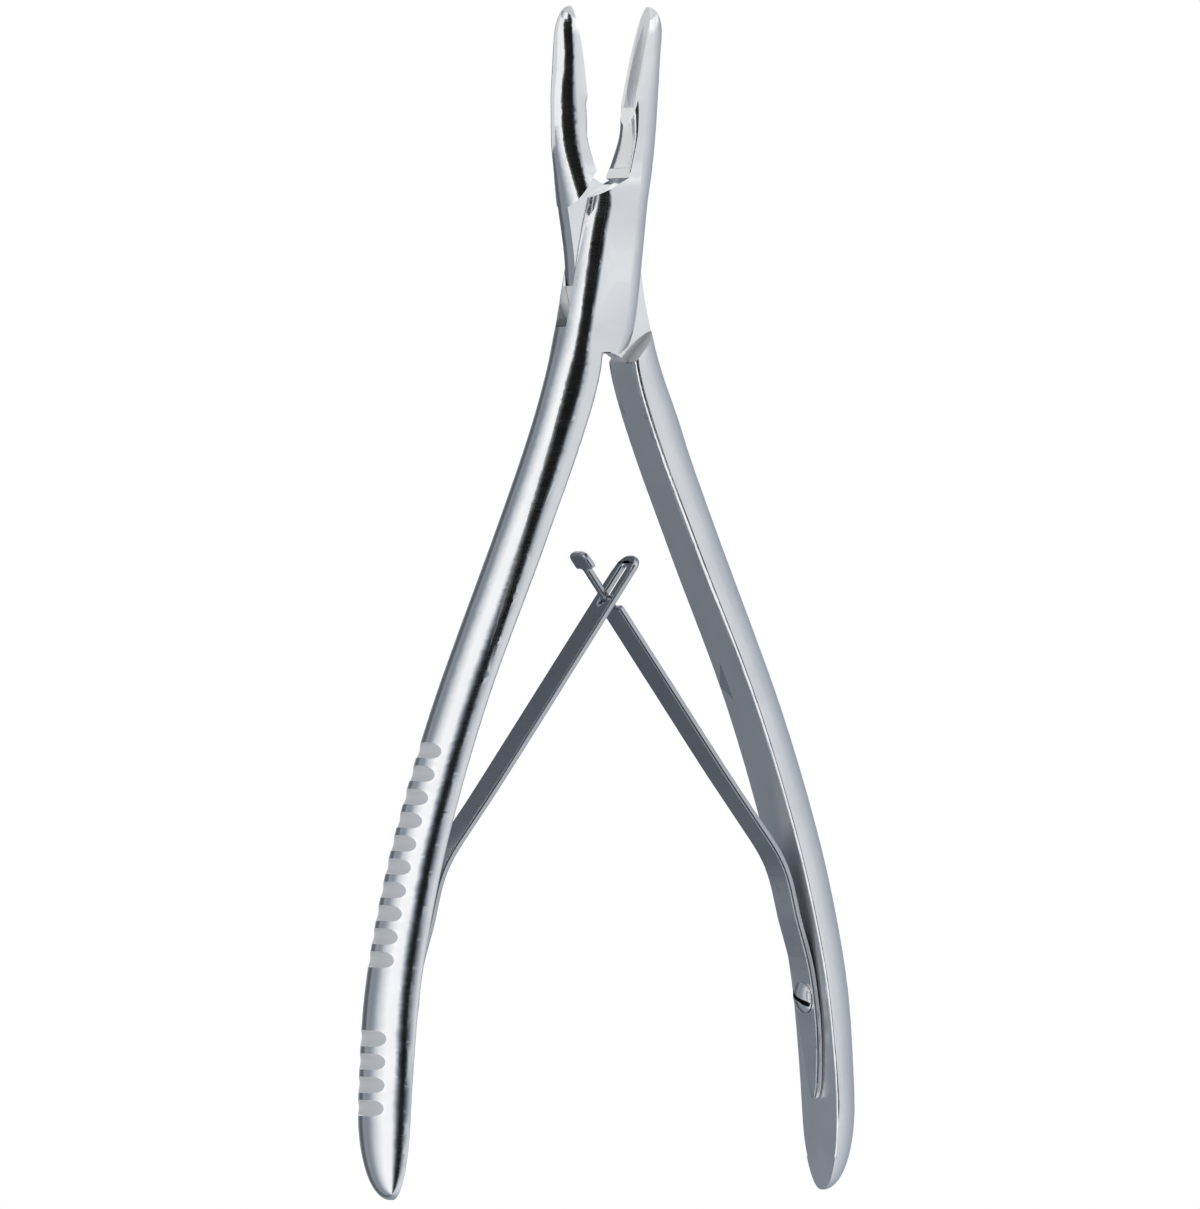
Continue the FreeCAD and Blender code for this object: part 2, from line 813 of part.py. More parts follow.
def hooked_leaf_spring():
    """Leaf spring of the plain handle, whose neck and cross head pass through the slot."""
    path = spring_path(1, HOOKED_SPRING_END_Y)
    solid = strip(path)
    tip = end_frame(path, False)
    head = rounded_end(HEAD_CORNER, HEAD_LENGTH, HEAD_WIDTH)
    solid = solid.cut(place(head, tip))
    side_width = (SPRING_WIDTH - NECK_WIDTH) / 2 + 1
    length = past_cross(HOOKED_SPRING_END_Y) - HEAD_LENGTH
    for way in (-1, 1):
        notch = slab(length, side_width, -HEAD_LENGTH - length, 0.4)
        notch.translate(Vector(0, way * (NECK_WIDTH + side_width) / 2, 0))
        solid = solid.cut(place(notch, tip))
    end = rounded_end(SPRING_CORNER, SPRING_CORNER, SPRING_WIDTH + 0.02)
    solid = solid.cut(place(end, end_frame(path, True)))
    return solid.cut(spring_hole(1))


def spring_screw(side):
    """Slotted screw with a low domed head that holds a leaf spring on its handle."""
    base = along(SPRING_SEAT, SCREW_Y) + SPRING_THICKNESS + SCREW_SEAT_GAP
    crown = base + SCREW_HEAD_HEIGHT
    r = SCREW_HEAD_RADIUS
    dome = SCREW_HEAD_HEIGHT - SCREW_RIM_HEIGHT
    ball = (r * r + dome * dome) / (2 * dome)
    head = Part.makeCylinder(r, SCREW_HEAD_HEIGHT, Vector(0, 0, base))
    head = head.common(Part.makeSphere(ball, Vector(0, 0, crown - ball)))
    shank = Part.makeCylinder(
        SCREW_SHANK_RADIUS,
        SCREW_SHANK_LENGTH + base,
        Vector(0, 0, -SCREW_SHANK_LENGTH),
    )
    notch = Part.makeBox(SCREW_SLOT_WIDTH, 3 * r, 2)
    notch.translate(Vector(-SCREW_SLOT_WIDTH / 2, -1.5 * r, crown - SCREW_SLOT_DEPTH))
    notch.rotate(Vector(0, 0, 0), Vector(0, 0, 1), SCREW_SLOT_TURN)
    return place(shank.fuse(head).cut(notch), screw_frame(side))


PARTS = {
    "grooved_half": grooved_half,
    "plain_half": plain_half,
    "lock_pin": lock_pin,
    "slotted_leaf_spring": slotted_leaf_spring,
    "hooked_leaf_spring": hooked_leaf_spring,
    "slotted_spring_screw": lambda: spring_screw(-1),
    "hooked_spring_screw": lambda: spring_screw(1),
}

for name, make in PARTS.items():
    shape = make()
    shape.exportStep("parts/" + name + ".step")
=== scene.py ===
import math

import bmesh
import bpy
from mathutils import Matrix, Vector


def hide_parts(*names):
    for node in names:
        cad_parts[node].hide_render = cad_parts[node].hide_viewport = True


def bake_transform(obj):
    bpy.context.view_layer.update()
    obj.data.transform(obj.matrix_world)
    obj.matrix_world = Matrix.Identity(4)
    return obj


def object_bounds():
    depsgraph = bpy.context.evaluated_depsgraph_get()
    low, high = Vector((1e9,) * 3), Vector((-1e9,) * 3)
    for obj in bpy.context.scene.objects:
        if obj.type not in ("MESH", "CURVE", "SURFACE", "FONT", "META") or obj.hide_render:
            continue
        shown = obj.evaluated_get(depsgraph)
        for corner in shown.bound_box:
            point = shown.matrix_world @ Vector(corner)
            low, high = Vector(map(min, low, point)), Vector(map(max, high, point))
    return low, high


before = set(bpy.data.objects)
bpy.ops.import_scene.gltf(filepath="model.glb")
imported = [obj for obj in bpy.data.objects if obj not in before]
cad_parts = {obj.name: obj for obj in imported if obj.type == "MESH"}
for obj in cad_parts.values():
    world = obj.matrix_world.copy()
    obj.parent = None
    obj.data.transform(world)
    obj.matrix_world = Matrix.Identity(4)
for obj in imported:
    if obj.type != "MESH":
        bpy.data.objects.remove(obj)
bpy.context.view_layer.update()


# Grooved half: one steel forging that runs from the left handle through the outer cheeks of
# the box lock to the right jaw. Milled, then brushed round its length to a fine satin, with
# its corners rubbed brighter and its grooves and slot left a little duller.
STEEL_COLOUR = (0.765, 0.775, 0.79, 1.0)
STEEL_SHADE = (0.66, 0.675, 0.70, 1.0)
STEEL_RUB = (0.90, 0.905, 0.91, 1.0)
STEEL_ROUGHNESS = 0.13
STEEL_SPREAD = 0.24
GRAIN_PER_METRE = 6500.0
GRAIN_STRETCH = 0.05
GRAIN_DEPTH = 0.000004
GRAIN_STRENGTH = 0.35
GRAIN_DETAIL = 3.0
GRAIN_SHARPNESS = 0.6
SCRATCH_SHARE = 0.23
SCRATCH_RANGE = (0.66, 0.74)
SCRATCH_SINK = -0.8
CLOUDS_PER_METRE = 170.0
CLOUD_DETAIL = 4.0
CLOUD_WEIGHT = 0.6
TONE_RANGE = (0.35, 0.75)
TONE_MOST = 0.45
RUB_BREAK_UP = 0.05
CORNER_RANGE = (0.55, 0.66)
HOLLOW_RANGE = (0.50, 0.38)
MILLED_ROUGHNESS = 0.5
INNER_ROUGHNESS = 0.36
BLASTED_METAL = 0.35
CUP_RADIUS = 0.00145
GROOVED_LEAN = 12.5
PLAIN_LEAN = 6.8
CUP_START_Y = 0.0228
MIDDLE_Z = 0.004
BITE_OFFSET = 0.0011
GROOVE_ROWS = ((-0.0991, -0.0669), (-0.1200, -0.1074))
OUTWARD_LIMIT = 0.3
GROOVE_SLACK = 0.0008
# Sockets of a colour mix: its factor, its two colours and its result
FACTOR, FIRST, SECOND, MIXED = 0, 6, 7, 2


def node(tree, kind, place=(0, 0), **values):
    made = tree.nodes.new(kind)
    made.location = place
    for name, value in values.items():
        setattr(made, name, value)
    return made


def satin_grain_group():
    """Fine lines round a piece, with slow cloudy drift and scattered scratches."""
    group = bpy.data.node_groups.new("satin_grain", "ShaderNodeTree")
    face = group.interface
    for name, kind, value in (
        ("Position", "NodeSocketVector", None),
        ("Lines", "NodeSocketFloat", GRAIN_PER_METRE),
        ("Stretch", "NodeSocketFloat", GRAIN_STRETCH),
        ("Middle", "NodeSocketFloat", STEEL_ROUGHNESS),
        ("Spread", "NodeSocketFloat", STEEL_SPREAD),
    ):
        socket = face.new_socket(name=name, in_out="INPUT", socket_type=kind)
        if value is not None:
            socket.default_value = value
    for name in ("Roughness", "Height", "Cloud"):
        face.new_socket(name=name, in_out="OUTPUT", socket_type="NodeSocketFloat")
    inside = node(group, "NodeGroupInput", (-1100, 0))
    out = node(group, "NodeGroupOutput", (900, 0))
    link = group.links.new

    # Lines: the position is squeezed along X and Z, so that each grain runs round the piece
    squeeze = node(group, "ShaderNodeCombineXYZ", (-900, 200))
    squeeze.inputs[1].default_value = 1.0
    link(inside.outputs["Stretch"], squeeze.inputs[0])
    link(inside.outputs["Stretch"], squeeze.inputs[2])
    scaled = node(group, "ShaderNodeVectorMath", (-700, 200), operation="MULTIPLY")
    link(inside.outputs["Position"], scaled.inputs[0])
    link(squeeze.outputs[0], scaled.inputs[1])
    lines = node(group, "ShaderNodeTexNoise", (-480, 260))
    lines.inputs["Detail"].default_value = GRAIN_DETAIL
    lines.inputs["Roughness"].default_value = GRAIN_SHARPNESS
    link(scaled.outputs[0], lines.inputs["Vector"])
    link(inside.outputs["Lines"], lines.inputs["Scale"])

    # Scratches: rarer, longer lines that stand out of the grain
    thin = node(group, "ShaderNodeMath", (-700, -60), operation="MULTIPLY")
    thin.inputs[1].default_value = SCRATCH_SHARE
    link(inside.outputs["Lines"], thin.inputs[0])
    scratches = node(group, "ShaderNodeTexNoise", (-480, -60))
    scratches.inputs["Detail"].default_value = 1.0
    link(scaled.outputs[0], scratches.inputs["Vector"])
    link(thin.outputs[0], scratches.inputs["Scale"])
    picked = node(group, "ShaderNodeMapRange", (-260, -60))
    picked.inputs["From Min"].default_value, picked.inputs["From Max"].default_value = SCRATCH_RANGE
    link(scratches.outputs["Fac"], picked.inputs["Value"])

    # Cloud: slow change of tone from hand finishing
    cloud = node(group, "ShaderNodeTexNoise", (-480, -340))
    cloud.inputs["Scale"].default_value = CLOUDS_PER_METRE
    cloud.inputs["Detail"].default_value = CLOUD_DETAIL
    link(inside.outputs["Position"], cloud.inputs["Vector"])

    centred = node(group, "ShaderNodeMath", (-240, 260), operation="SUBTRACT")
    centred.inputs[1].default_value = 0.5
    link(lines.outputs["Fac"], centred.inputs[0])
    clouded = node(group, "ShaderNodeMath", (-240, -340), operation="SUBTRACT")
    clouded.inputs[1].default_value = 0.5
    link(cloud.outputs["Fac"], clouded.inputs[0])
    both = node(group, "ShaderNodeMath", (0, 60), operation="MULTIPLY_ADD")
    both.inputs[1].default_value = CLOUD_WEIGHT
    link(clouded.outputs[0], both.inputs[0])
    link(centred.outputs[0], both.inputs[2])
    rough = node(group, "ShaderNodeMath", (240, 60), operation="MULTIPLY_ADD")
    link(both.outputs[0], rough.inputs[0])
    link(inside.outputs["Spread"], rough.inputs[1])
    link(inside.outputs["Middle"], rough.inputs[2])
    link(rough.outputs[0], out.inputs["Roughness"])
    height = node(group, "ShaderNodeMath", (240, -140), operation="MULTIPLY_ADD")
    height.inputs[1].default_value = SCRATCH_SINK
    link(picked.outputs[0], height.inputs[0])
    link(lines.outputs["Fac"], height.inputs[2])
    link(height.outputs[0], out.inputs["Height"])
    link(cloud.outputs["Fac"], out.inputs["Cloud"])
    return group


def wear_and_crease_shade_group():
    """Mask that is 1 on rubbed convex corners, and a second one that is 1 in tight hollows and is
    used for painted shade there.
    """
    group = bpy.data.node_groups.new("rub_and_crease_shade_mask", "ShaderNodeTree")
    face = group.interface
    for name, kind in (("Point", "NodeSocketFloat"), ("Break up", "NodeSocketFloat")):
        face.new_socket(name=name, in_out="INPUT", socket_type=kind)
    for name in ("Corner", "Hollow"):
        face.new_socket(name=name, in_out="OUTPUT", socket_type="NodeSocketFloat")
    inside = node(group, "NodeGroupInput", (-700, 0))
    out = node(group, "NodeGroupOutput", (500, 0))
    link = group.links.new
    mixed = node(group, "ShaderNodeMath", (-450, 0), operation="MULTIPLY_ADD")
    mixed.inputs[1].default_value = RUB_BREAK_UP
    link(inside.outputs["Break up"], mixed.inputs[0])
    link(inside.outputs["Point"], mixed.inputs[2])
    corner = node(group, "ShaderNodeMapRange", (-150, 120))
    corner.inputs["From Min"].default_value, corner.inputs["From Max"].default_value = CORNER_RANGE
    link(mixed.outputs[0], corner.inputs["Value"])
    # Hollow mask, used to paint shade into tight hollows
    hollow = node(group, "ShaderNodeMapRange", (-150, -160))
    hollow.inputs["From Min"].default_value, hollow.inputs["From Max"].default_value = HOLLOW_RANGE
    link(mixed.outputs[0], hollow.inputs["Value"])
    link(corner.outputs[0], out.inputs["Corner"])
    link(hollow.outputs[0], out.inputs["Hollow"])
    return group


def milled_wall_group():
    """Mask that is 1 on walls milled square to the flats inside a window along Y and X."""
    group = bpy.data.node_groups.new("milled_wall", "ShaderNodeTree")
    face = group.interface
    for name in ("Position", "Facing"):
        face.new_socket(name=name, in_out="INPUT", socket_type="NodeSocketVector")
    for name in ("From Y", "To Y", "To X", "Facing limit", "Slack"):
        face.new_socket(name=name, in_out="INPUT", socket_type="NodeSocketFloat")
    face.new_socket(name="Wall", in_out="OUTPUT", socket_type="NodeSocketFloat")
    inside = node(group, "NodeGroupInput", (-900, 0))
    out = node(group, "NodeGroupOutput", (700, 0))
    link = group.links.new
    facing = node(group, "ShaderNodeSeparateXYZ", (-700, 120))
    link(inside.outputs["Facing"], facing.inputs[0])
    at = node(group, "ShaderNodeSeparateXYZ", (-700, -160))
    link(inside.outputs["Position"], at.inputs[0])
    upright = node(group, "ShaderNodeMath", (-480, 260), operation="COMPARE")
    upright.inputs[1].default_value = 0.0
    link(facing.outputs["Z"], upright.inputs[0])
    link(inside.outputs["Slack"], upright.inputs[2])
    mask = upright.outputs[0]
    tests = (
        ("LESS_THAN", facing.outputs["X"], "Facing limit"),
        ("LESS_THAN", at.outputs["X"], "To X"),
        ("LESS_THAN", at.outputs["Y"], "To Y"),
        ("GREATER_THAN", at.outputs["Y"], "From Y"),
    )
    for i, (kind, value, bound) in enumerate(tests):
        test = node(group, "ShaderNodeMath", (-480, 80 - 180 * i), operation=kind)
        link(value, test.inputs[0])
        link(inside.outputs[bound], test.inputs[1])
        both = node(group, "ShaderNodeMath", (-200 + 180 * i, 80), operation="MULTIPLY")
        link(mask, both.inputs[0])
        link(test.outputs[0], both.inputs[1])
        mask = both.outputs[0]
    link(mask, out.inputs["Wall"])
    return group


def cup_hollow_group():
    """Mask that is 1 near a line: inside the hollow that is ground round it in a biting face."""
    group = bpy.data.node_groups.new("cup_hollow", "ShaderNodeTree")
    face = group.interface
    for name in ("Position", "Start", "Along"):
        face.new_socket(name=name, in_out="INPUT", socket_type="NodeSocketVector")
    face.new_socket(name="Radius", in_out="INPUT", socket_type="NodeSocketFloat")
    face.new_socket(name="Cup", in_out="OUTPUT", socket_type="NodeSocketFloat")
    inside = node(group, "NodeGroupInput", (-900, 0))
    out = node(group, "NodeGroupOutput", (500, 0))
    link = group.links.new
    offset = node(group, "ShaderNodeVectorMath", (-700, 60), operation="SUBTRACT")
    link(inside.outputs["Position"], offset.inputs[0])
    link(inside.outputs["Start"], offset.inputs[1])
    crossed = node(group, "ShaderNodeVectorMath", (-500, 60), operation="CROSS_PRODUCT")
    link(offset.outputs[0], crossed.inputs[0])
    link(inside.outputs["Along"], crossed.inputs[1])
    away = node(group, "ShaderNodeVectorMath", (-300, 60), operation="LENGTH")
    link(crossed.outputs[0], away.inputs[0])
    near = node(group, "ShaderNodeMath", (-100, 60), operation="LESS_THAN")
    link(away.outputs["Value"], near.inputs[0])
    link(inside.outputs["Radius"], near.inputs[1])
    passed = node(group, "ShaderNodeVectorMath", (-500, -160), operation="DOT_PRODUCT")
    link(offset.outputs[0], passed.inputs[0])
    link(inside.outputs["Along"], passed.inputs[1])
    after = node(group, "ShaderNodeMath", (-100, -160), operation="GREATER_THAN")
    after.inputs[1].default_value = 0.0
    link(passed.outputs["Value"], after.inputs[0])
    both = node(group, "ShaderNodeMath", (120, 0), operation="MULTIPLY")
    link(near.outputs[0], both.inputs[0])
    link(after.outputs[0], both.inputs[1])
    link(both.outputs[0], out.inputs["Cup"])
    return group


MILLED_WALL = milled_wall_group()
CUP_HOLLOW = cup_hollow_group()
SATIN_GRAIN = satin_grain_group()
WEAR_AND_CREASE_SHADE = wear_and_crease_shade_group()


def satin_steel(
    name,
    colour,
    shade,
    rub,
    roughness,
    spread,
    lines=GRAIN_PER_METRE,
    walls=(),
    cup=None,
    cup_shade=None,
    side_shade_end_darker=None,
):
    """Brushed instrument steel: grain round Y, tone drift, bright corners, painted shade in
    hollows.

    walls gives the windows in which milled walls are matte, each with its roughness and how
    metallic it still looks, and cup the line of a bead-blasted hollow. cup_shade is the painted
    shade colour in that hollow, and side_shade_end_darker the painted shade on a spring's sides,
    which also darkens the spring towards its free end.
    """
    finish = bpy.data.materials.new(name)
    finish.use_nodes = True
    tree = finish.node_tree
    tree.nodes.clear()
    link = tree.links.new
    out = node(tree, "ShaderNodeOutputMaterial", (700, 0))
    steel = node(tree, "ShaderNodeBsdfPrincipled", (400, 0))
    steel.inputs["Metallic"].default_value = 1.0
    link(steel.outputs[0], out.inputs["Surface"])
    where = node(tree, "ShaderNodeTexCoord", (-1000, 0))
    grain = node(tree, "ShaderNodeGroup", (-700, 100), node_tree=SATIN_GRAIN)
    grain.inputs["Lines"].default_value = lines
    grain.inputs["Stretch"].default_value = GRAIN_STRETCH
    grain.inputs["Middle"].default_value = roughness
    grain.inputs["Spread"].default_value = spread
    link(where.outputs["Object"], grain.inputs["Position"])
    point = node(tree, "ShaderNodeNewGeometry", (-1000, -300))
    rub_and_crease_shade = node(tree, "ShaderNodeGroup", (-700, -200), node_tree=WEAR_AND_CREASE_SHADE)
    link(point.outputs["Pointiness"], rub_and_crease_shade.inputs["Point"])
    link(grain.outputs["Cloud"], rub_and_crease_shade.inputs["Break up"])
    tone = node(tree, "ShaderNodeMix", (-400, 200), data_type="RGBA")
    tone.inputs[FIRST].default_value = colour
    tone.inputs[SECOND].default_value = shade
    drift = node(tree, "ShaderNodeMapRange", (-560, 320))
    drift.inputs["From Min"].default_value, drift.inputs["From Max"].default_value = TONE_RANGE
    drift.inputs["To Max"].default_value = TONE_MOST
    link(grain.outputs["Cloud"], drift.inputs["Value"])
    link(drift.outputs[0], tone.inputs[FACTOR])
    # Painted shade: tight hollows are darkened towards the shade colour
    crease_shaded = node(tree, "ShaderNodeMix", (-200, 120), data_type="RGBA")
    crease_shaded.inputs[SECOND].default_value = shade
    link(rub_and_crease_shade.outputs["Hollow"], crease_shaded.inputs[FACTOR])
    link(tone.outputs[MIXED], crease_shaded.inputs[FIRST])
    bright = node(tree, "ShaderNodeMix", (0, 60), data_type="RGBA")
    bright.inputs[SECOND].default_value = rub
    link(rub_and_crease_shade.outputs["Corner"], bright.inputs[FACTOR])
    link(crease_shaded.outputs[MIXED], bright.inputs[FIRST])
    surface = bright.outputs[MIXED]
    # Painted shade on a spring's side faces, and a darker colour towards its free end
    if side_shade_end_darker:
        at = node(tree, "ShaderNodeSeparateXYZ", (-700, 500))
        link(where.outputs["Object"], at.inputs[0])
        along = node(tree, "ShaderNodeMapRange", (-400, 500))
        along.inputs["From Min"].default_value = END_DARKER_FROM_Y
        along.inputs["From Max"].default_value = END_DARKER_TO_Y
        link(at.outputs["Y"], along.inputs["Value"])
        facing = node(tree, "ShaderNodeSeparateXYZ", (-700, 700))
        link(point.outputs["True Normal"], facing.inputs[0])
        front = node(tree, "ShaderNodeMath", (-500, 700), operation="ABSOLUTE")
        link(facing.outputs["Z"], front.inputs[0])
        flat = node(tree, "ShaderNodeMath", (-300, 700), operation="GREATER_THAN")
        flat.inputs[1].default_value = SIDE_FACING
        link(front.outputs[0], flat.inputs[0])
        most = node(tree, "ShaderNodeMath", (-100, 600), operation="MAXIMUM")
        link(along.outputs[0], most.inputs[0])
        link(flat.outputs[0], most.inputs[1])
        darker = node(tree, "ShaderNodeMix", (200, 300), data_type="RGBA", blend_type="MULTIPLY")
        darker.inputs[SECOND].default_value = side_shade_end_darker
        link(most.outputs[0], darker.inputs[FACTOR])
        link(surface, darker.inputs[FIRST])
        surface = darker.outputs[MIXED]
    rough = grain.outputs["Roughness"]
    metal = None
    masks = []
    for window, roughness_in, metal_in in walls:
        place = (-700, -420 - 300 * len(masks))
        cut = node(tree, "ShaderNodeGroup", place, node_tree=MILLED_WALL)
        link(where.outputs["Object"], cut.inputs["Position"])
        link(point.outputs["True Normal"], cut.inputs["Facing"])
        for socket, value in window.items():
            cut.inputs[socket].default_value = value
        masks.append((cut.outputs["Wall"], roughness_in, metal_in))
    if cup:
        place = (-700, -420 - 300 * len(masks))
        ground = node(tree, "ShaderNodeGroup", place, node_tree=CUP_HOLLOW)
        link(where.outputs["Object"], ground.inputs["Position"])
        for socket, value in cup.items():
            ground.inputs[socket].default_value = value
        masks.append((ground.outputs["Cup"], MILLED_ROUGHNESS, 1.0 if cup_shade else BLASTED_METAL))
    for i, (mask, roughness_in, metal_in) in enumerate(masks):
        rougher = node(tree, "ShaderNodeMapRange", (-400 + 200 * i, -420))
        rougher.inputs["To Max"].default_value = roughness_in
        link(mask, rougher.inputs["Value"])
        link(rough, rougher.inputs["To Min"])
        rough = rougher.outputs[0]
        if metal_in < 1:
            greyer = node(tree, "ShaderNodeMapRange", (-400 + 200 * i, -720))
            greyer.inputs["To Min"].default_value = 1.0
            greyer.inputs["To Max"].default_value = metal_in
            link(mask, greyer.inputs["Value"])
            if metal:
                link(metal, greyer.inputs["To Min"])
            metal = greyer.outputs[0]
    link(rough, steel.inputs["Roughness"])
    if metal:
        link(metal, steel.inputs["Metallic"])
    # Painted shade: the cup's hollow is darkened to the given colour
    if cup_shade:
        shaded_cup = node(tree, "ShaderNodeMix", (200, 500), data_type="RGBA")
        shaded_cup.inputs[SECOND].default_value = cup_shade
        link(ground.outputs["Cup"], shaded_cup.inputs[FACTOR])
        link(surface, shaded_cup.inputs[FIRST])
        surface = shaded_cup.outputs[MIXED]
    link(surface, steel.inputs["Base Color"])
    bump = node(tree, "ShaderNodeBump", (100, -260))
    bump.inputs["Strength"].default_value = GRAIN_STRENGTH
    bump.inputs["Distance"].default_value = GRAIN_DEPTH
    link(grain.outputs["Height"], bump.inputs["Height"])
    link(bump.outputs[0], steel.inputs["Normal"])
    return finish


def dress(name, finish):
    """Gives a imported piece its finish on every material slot."""
    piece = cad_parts[name]
    for slot in piece.material_slots:
        slot.material = finish
    if not piece.material_slots:
        piece.data.materials.append(finish)


def cup_line(lean, side):
    """Line in a biting face on which the cup of a jaw is centred."""
    a = math.radians(lean)
    x = -(side * CUP_START_Y * math.sin(a) + BITE_OFFSET) / math.cos(a)
    along = (-side * math.sin(a), math.cos(a), 0)
    return {"Start": (x, CUP_START_Y, MIDDLE_Z), "Along": along, "Radius": CUP_RADIUS}


def wall_window(from_y, to_y, to_x, slack):
    """Stretch of a piece in which its upright walls are milled, save those facing outward."""
    return {
        "From Y": from_y,
        "To Y": to_y,
        "To X": to_x,
        "Facing limit": OUTWARD_LIMIT,
        "Slack": slack,
    }


grooved_steel = satin_steel(
    "grooved_forging_steel",
    STEEL_COLOUR,
    STEEL_SHADE,
    STEEL_RUB,
    STEEL_ROUGHNESS,
    STEEL_SPREAD,
    walls=[
        (wall_window(low_y, high_y, 0.0, GROOVE_SLACK), MILLED_ROUGHNESS, BLASTED_METAL)
        for low_y, high_y in GROOVE_ROWS
    ],
    cup=cup_line(GROOVED_LEAN, -1),
)
dress("grooved_half", grooved_steel)


# Plain half: the other forging, from the smooth right handle through the thin tongue of the
# box lock to the left jaw. The same steel and the same satin finish as its partner. The inner
# face of its handle is milled and left duller, and the walls at the lock are bead-blasted.
HANDLE_END_Y = -0.14
SHOULDER_Y = -0.0134
TONGUE_TOP_Y = 0.004
PLAIN_REACH_X = 0.05
PLAIN_SLACK = 0.01

plain_steel = satin_steel(
    "plain_forging_steel",
    STEEL_COLOUR,
    STEEL_SHADE,
    STEEL_RUB,
    STEEL_ROUGHNESS,
    STEEL_SPREAD,
    walls=[
        (wall_window(HANDLE_END_Y, SHOULDER_Y, PLAIN_REACH_X, PLAIN_SLACK), INNER_ROUGHNESS, 1.0),
        (
            wall_window(SHOULDER_Y, TONGUE_TOP_Y, PLAIN_REACH_X, PLAIN_SLACK),
            MILLED_ROUGHNESS,
            BLASTED_METAL,
        ),
    ],
    cup=cup_line(PLAIN_LEAN, 1),
)
dress("plain_half", plain_steel)


# Lock pin: the rivet on which both halves turn. Its ends are ground flush with the cheeks and
# brushed together with them, so that only a faint ring shows.
pin_steel = satin_steel(
    "pin_steel",
    STEEL_COLOUR,
    STEEL_SHADE,
    STEEL_RUB,
    STEEL_ROUGHNESS,
    STEEL_SPREAD,
)
dress("lock_pin", pin_steel)


# Leaf springs: two strips of hardened spring steel, one screwed to each handle. The slotted
# one takes the neck of the hooked one, whose cross head keeps them together. Their faces are
# darker than the forgings, and their edges are rubbed bright. Painted shade darkens their
# sides, and they are darker towards their free ends.
SPRING_COLOUR = (0.70, 0.71, 0.73, 1.0)
SPRING_SHADE = (0.52, 0.535, 0.56, 1.0)
SPRING_ROUGHNESS = 0.26
SPRING_SPREAD = 0.12
SPRING_GRAIN_PER_METRE = 7000.0
SIDE_FACING = 0.9
# Painted shade on the side faces of the springs; the same colour darkens them towards their free
# ends
SPRING_SIDE_SHADE_END_DARKER = (0.72, 0.735, 0.76, 1.0)
END_DARKER_FROM_Y = -0.088
END_DARKER_TO_Y = -0.058
EDGE_ROUND = 0.00028
TAPER_FROM_Y = -0.1065
TAPER = 0.72
TAPER_CURVE = 1.5
WELD = 0.000002
FLAT_WITHIN = 0.6
SHARP_FROM = 50

spring_steel = satin_steel(
    "spring_blade_steel",
    SPRING_COLOUR,
    SPRING_SHADE,
    STEEL_RUB,
    SPRING_ROUGHNESS,
    SPRING_SPREAD,
    SPRING_GRAIN_PER_METRE,
    side_shade_end_darker=SPRING_SIDE_SHADE_END_DARKER,
)


def leaf_spring(name, node_name):
    """A strip that stays on its own handle up to its screw.

    Its tail narrows to a blunt tongue, and its long edges are rounded.
    """
    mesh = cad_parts[node_name].data.copy()
    end_y = min(corner.co.y for corner in mesh.vertices)
    for corner in mesh.vertices:
        share = max((TAPER_FROM_Y - corner.co.y) / (TAPER_FROM_Y - end_y), 0.0)
        narrowed = 1 - TAPER * share**TAPER_CURVE
        corner.co.z = MIDDLE_Z + (corner.co.z - MIDDLE_Z) * narrowed
    joined = bmesh.new()
    joined.from_mesh(mesh)
    bmesh.ops.remove_doubles(joined, verts=joined.verts, dist=WELD)
    bmesh.ops.dissolve_limit(
        joined,
        angle_limit=math.radians(FLAT_WITHIN),
        verts=joined.verts,
        edges=joined.edges,
    )
    joined.to_mesh(mesh)
    joined.free()
    mesh.shade_flat()
    blade = bpy.data.objects.new(name, mesh)
    bpy.context.collection.objects.link(blade)
    blade.data.materials.clear()
    blade.data.materials.append(spring_steel)
    edge = blade.modifiers.new("rubbed edge", "BEVEL")
    edge.width = EDGE_ROUND
    edge.segments = 2
    edge.use_clamp_overlap = False
    edge.limit_method = "ANGLE"
    edge.angle_limit = math.radians(SHARP_FROM)
    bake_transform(blade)
    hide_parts(node_name)


leaf_spring("slotted_blade", "slotted_leaf_spring")
leaf_spring("hooked_blade", "hooked_leaf_spring")


# Spring screws: turned steel screws with a low domed head and a narrow cut slot. Each clamps
# the tail of a leaf spring to its handle. The slot is darkened with painted shade.
SCREW_COLOUR = (0.76, 0.77, 0.785, 1.0)
SCREW_ROUGHNESS = 0.14
SCREW_SPREAD = 0.2
SCREW_GRAIN_PER_METRE = 12000.0
# Painted shade in the screw slots
SLOT_SHADE = (0.04, 0.04, 0.045, 1.0)
SCREW_AT = (0.0335, -0.104)
SCREW_RISE = -0.15
SLOT_TURN = 24.0
SLOT_HEIGHT = 0.00185
SLOT_REACH = 0.00043
HEAD_REACH = 0.003


def screw(name, side):
    """A screw, with the line along which its slot is darkened."""
    rise = math.hypot(1, SCREW_RISE)
    way = Vector((side * SCREW_RISE / rise, 1 / rise, 0))
    normal = Vector((-side * way.y, side * way.x, 0))
    turn = math.radians(SLOT_TURN)
    along = way.cross(normal) * math.cos(turn) - way * math.sin(turn)
    middle = Vector((side * SCREW_AT[0], SCREW_AT[1], MIDDLE_Z)) + normal * SLOT_HEIGHT
    finish = satin_steel(
        name + "_steel",
        SCREW_COLOUR,
        STEEL_SHADE,
        STEEL_RUB,
        SCREW_ROUGHNESS,
        SCREW_SPREAD,
        SCREW_GRAIN_PER_METRE,
        cup={"Start": middle - along * HEAD_REACH, "Along": along, "Radius": SLOT_REACH},
        cup_shade=SLOT_SHADE,
    )
    dress(name, finish)


screw("slotted_spring_screw", -1)
screw("hooked_spring_screw", 1)


# Floor: a plain white sweep under the instrument, evenly lit from below, with no shadow.
FLOOR_SIZE = 6.0
FLOOR_GAP = 0.0002

